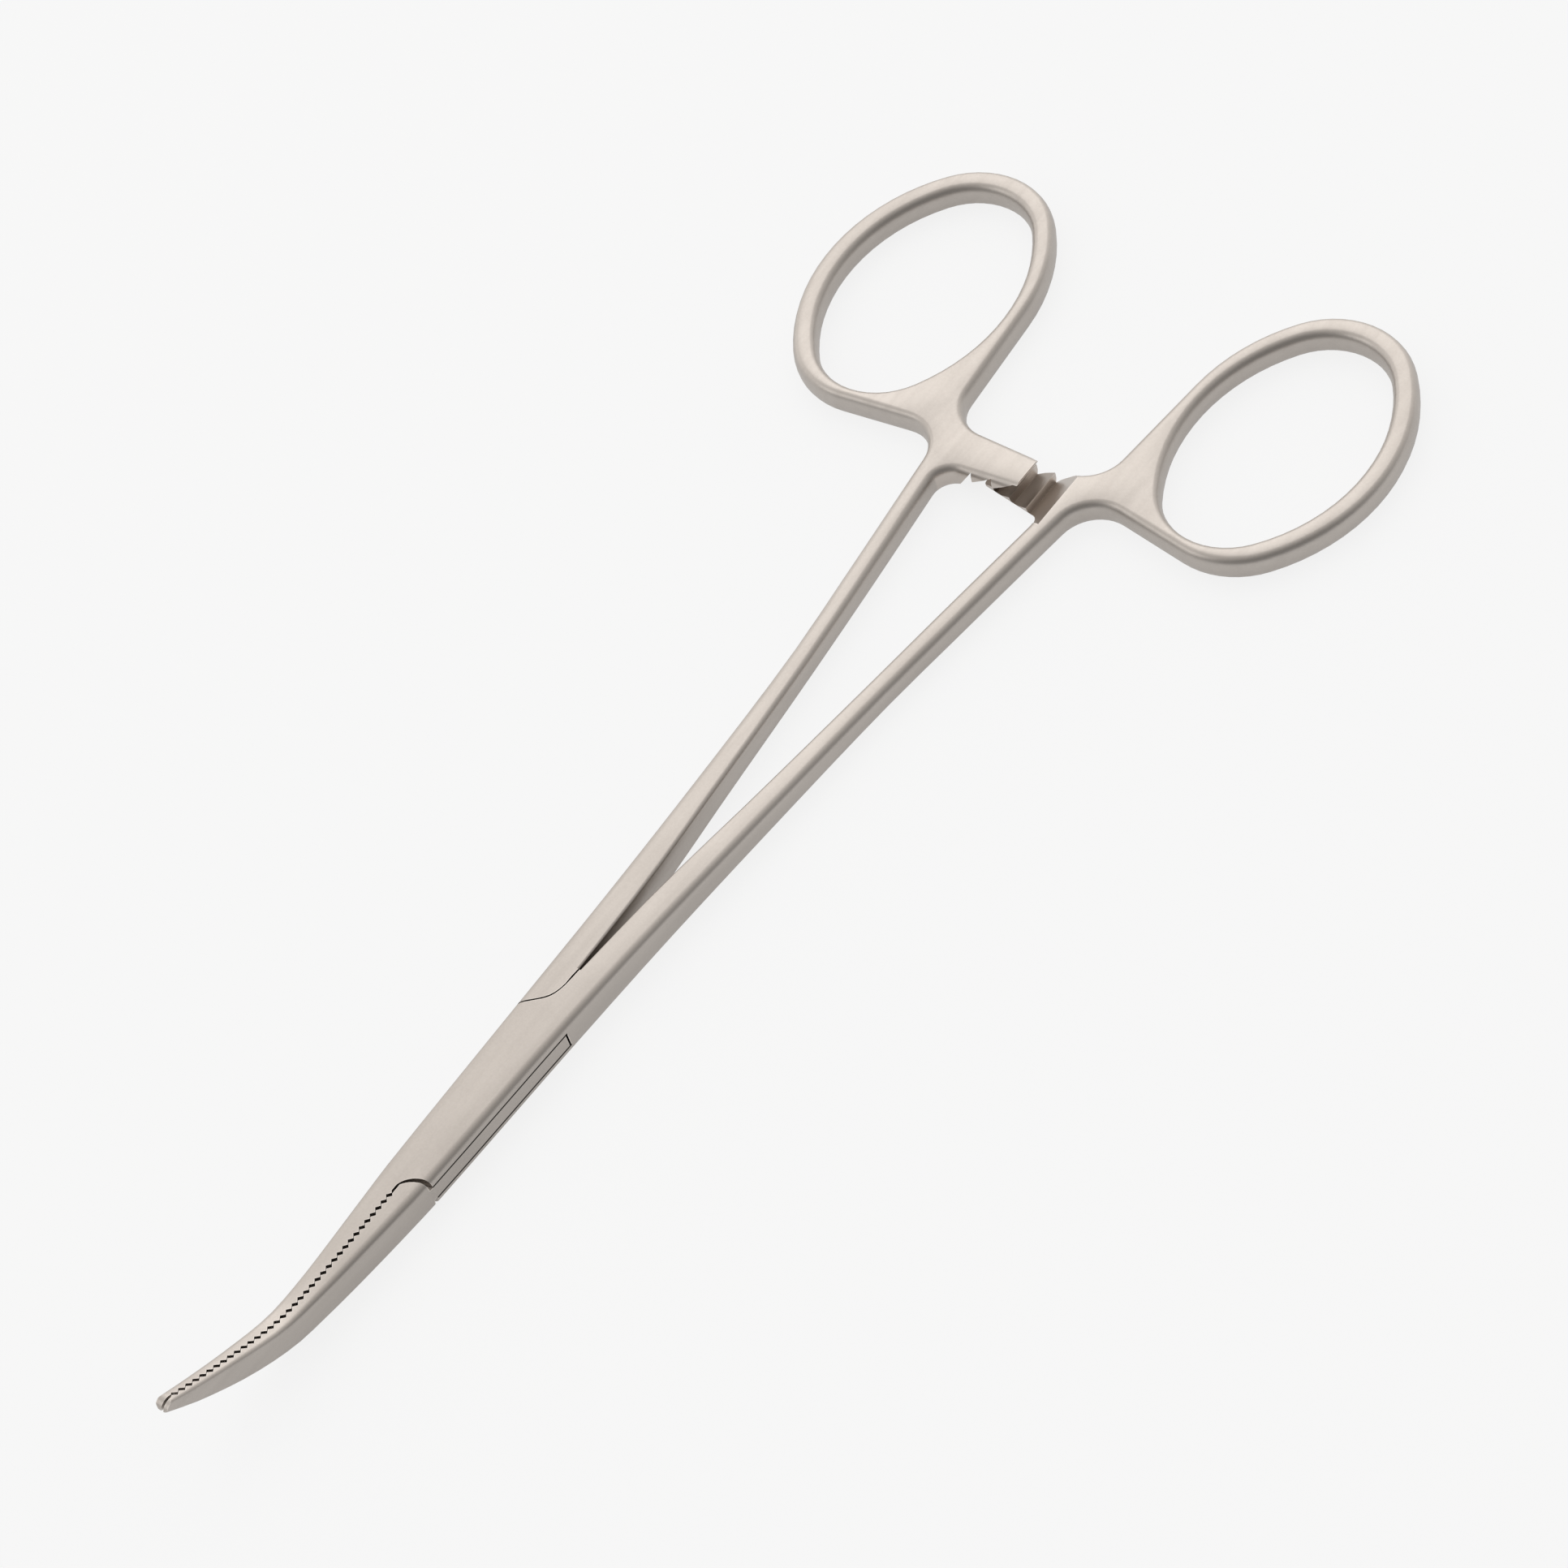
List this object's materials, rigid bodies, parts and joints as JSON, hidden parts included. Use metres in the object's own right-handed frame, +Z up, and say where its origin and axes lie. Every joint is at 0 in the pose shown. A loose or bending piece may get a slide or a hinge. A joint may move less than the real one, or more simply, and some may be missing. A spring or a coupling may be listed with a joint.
{
  "type": "mosquito forceps",
  "caption": "Slim curved haemostatic forceps with finger rings, toothed ratchet, box lock and serrated jaws.",
  "frame": {"origin": "on the pivot axis of the box lock, at the level of the flat underside", "axes": "+X along the instrument towards the jaw tips, +Y across it towards the box half's finger ring, +Z up, the way the jaws curve"},
  "size_m": [0.1597, 0.0688, 0.0101],
  "materials": {
    "satin_steel": "satin ground stainless steel, slightly warm grey",
    "pin_steel": "satin ground stainless steel, flush with the lock"
  },
  "bodies": {
    "box_side": {"box_half": "satin_steel", "pivot_pin": "pin_steel"},
    "tongue_side": {"tongue_half": "satin_steel"}
  },
  "joints": [
    {"name": "pivot", "type": "hinge", "parent": "box_side", "child": "tongue_side", "pos_m": [0, 0, 0], "axis": [0, 0, 1], "range_deg": [0, 45]}
  ]
}
